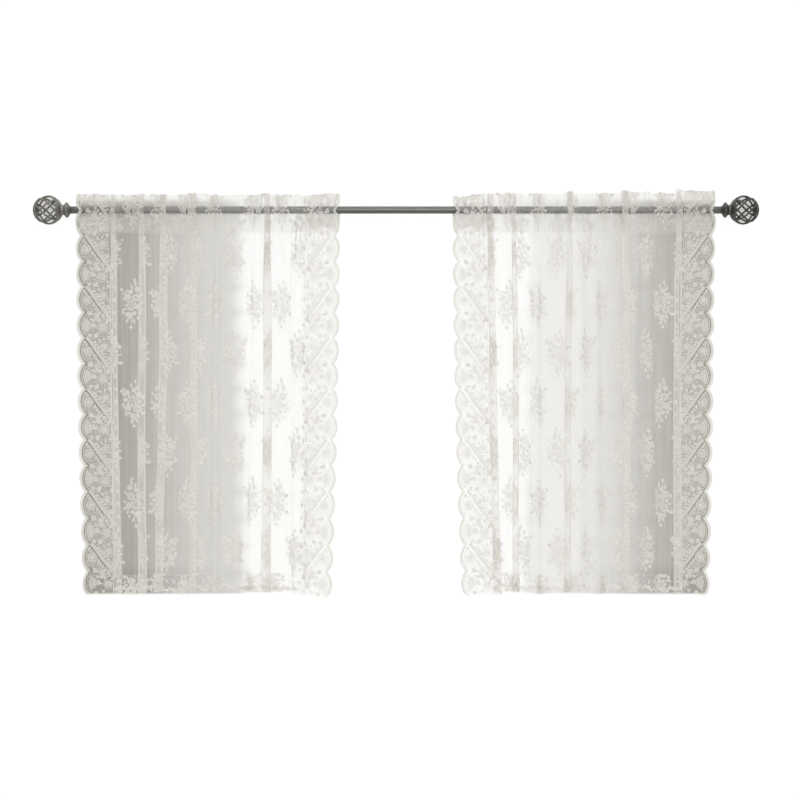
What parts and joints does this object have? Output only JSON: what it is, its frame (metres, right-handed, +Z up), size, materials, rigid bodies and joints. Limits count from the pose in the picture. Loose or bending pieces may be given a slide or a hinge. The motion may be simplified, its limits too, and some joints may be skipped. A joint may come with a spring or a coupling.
{
  "type": "cafe curtain pair on rod",
  "caption": "Sheer floral lace cafe curtain panels with scalloped borders, rod-pocket heads with a small ruffle and plain hems, gathered on a dark metal rod with cage-ball finials.",
  "frame": {"origin": "on the rod's axis, half way along the rod", "axes": "+X to the right along the rod, +Y from the room towards the wall, +Z up"},
  "size_m": [1.633, 0.0652, 0.9153],
  "materials": {
    "lace": "sheer white warp-knit lace, soft and matt, see-through between the motifs",
    "rod_metal": "dark pewter-black lacquer, satin",
    "finial_metal": "dark pewter-black lacquer, satin, a little rubbed on the bars"
  },
  "bodies": {
    "root": {"panel_left": "lace", "panel_right": "lace", "rod": "rod_metal", "finial_left": "finial_metal", "finial_right": "finial_metal"}
  },
  "joints": []
}
